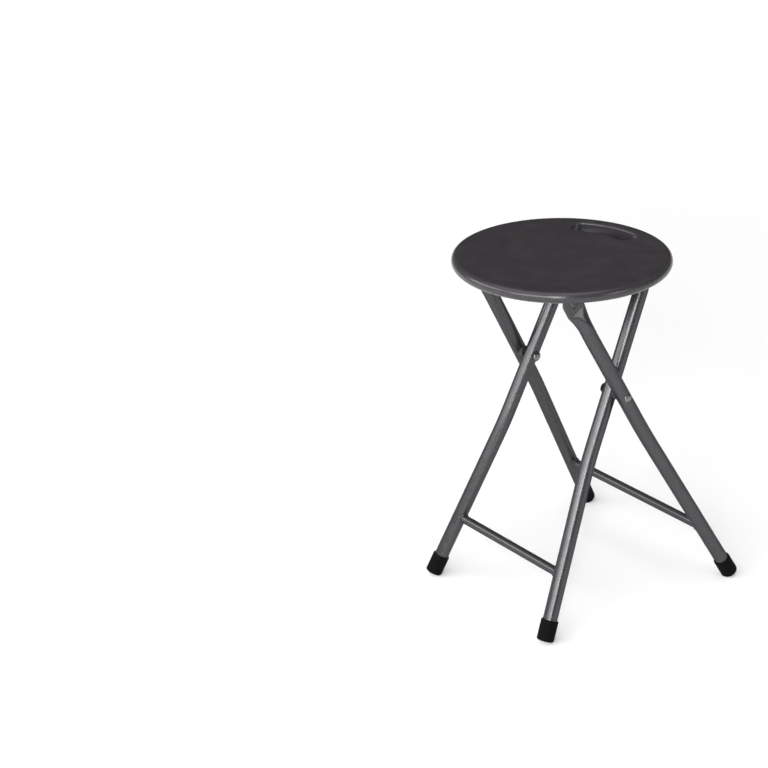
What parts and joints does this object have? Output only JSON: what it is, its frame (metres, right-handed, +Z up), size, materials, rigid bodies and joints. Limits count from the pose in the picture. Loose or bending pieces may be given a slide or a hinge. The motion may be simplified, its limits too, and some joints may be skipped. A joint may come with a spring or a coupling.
{
  "type": "folding round stool",
  "caption": "Round folding stool: dished plastic seat with a curved hand slot, on two crossed tubular steel frames with fluted foot caps.",
  "frame": {"origin": "on the floor, in the middle of the footprint of the opened stool", "axes": "+Z up; +X along the crossbars; +Y from the inner frame's feet to the outer frame's feet"},
  "size_m": [0.3066, 0.3336, 0.471],
  "materials": {
    "seat_plastic": "satin moulded charcoal plastic",
    "tube_paint": "satin gunmetal grey paint on steel tube",
    "rivet_steel": "dark zinc plated, worn bright on the heads",
    "strap_steel": "zinc plated sheet",
    "screw_steel": "zinc plated",
    "nylon": "black nylon",
    "foot_rubber": "matt black"
  },
  "bodies": {
    "outer_frame": {"outer_leg_left": "tube_paint", "outer_leg_right": "tube_paint", "outer_crossbar": "tube_paint", "outer_weld_beads": "tube_paint", "foot_outer_left": "foot_rubber", "foot_outer_right": "foot_rubber", "pivot_rivet_left": "rivet_steel", "pivot_rivet_right": "rivet_steel", "pivot_spacer_left": "nylon", "pivot_spacer_right": "nylon", "pivot_washer_left": "nylon", "pivot_washer_right": "nylon"},
    "inner_frame": {"inner_frame_tube": "tube_paint", "inner_crossbar": "tube_paint", "inner_weld_beads": "tube_paint", "foot_inner_left": "foot_rubber", "foot_inner_right": "foot_rubber"},
    "seat": {"seat_shell": "seat_plastic", "hinge_strap": "strap_steel", "strap_screws": "screw_steel", "hinge_rivet_left": "rivet_steel", "hinge_rivet_right": "rivet_steel", "hinge_washer_left": "nylon", "hinge_washer_right": "nylon", "bar_rest_left": "nylon", "bar_rest_right": "nylon", "rest_screws": "screw_steel"}
  },
  "joints": [
    {"name": "frame_fold", "type": "hinge", "parent": "outer_frame", "child": "inner_frame", "pos_m": [0, -0.01335, 0.302], "axis": [1, 0, 0], "range_deg": [0, 50]},
    {"name": "seat_tilt", "type": "hinge", "parent": "outer_frame", "child": "seat", "pos_m": [0, -0.09515, 0.447], "axis": [1, 0, 0], "range_deg": [0, 112]}
  ],
  "couplings": [
    {"joint": "seat_tilt", "follows": "frame_fold", "ratio": 2.24}
  ]
}
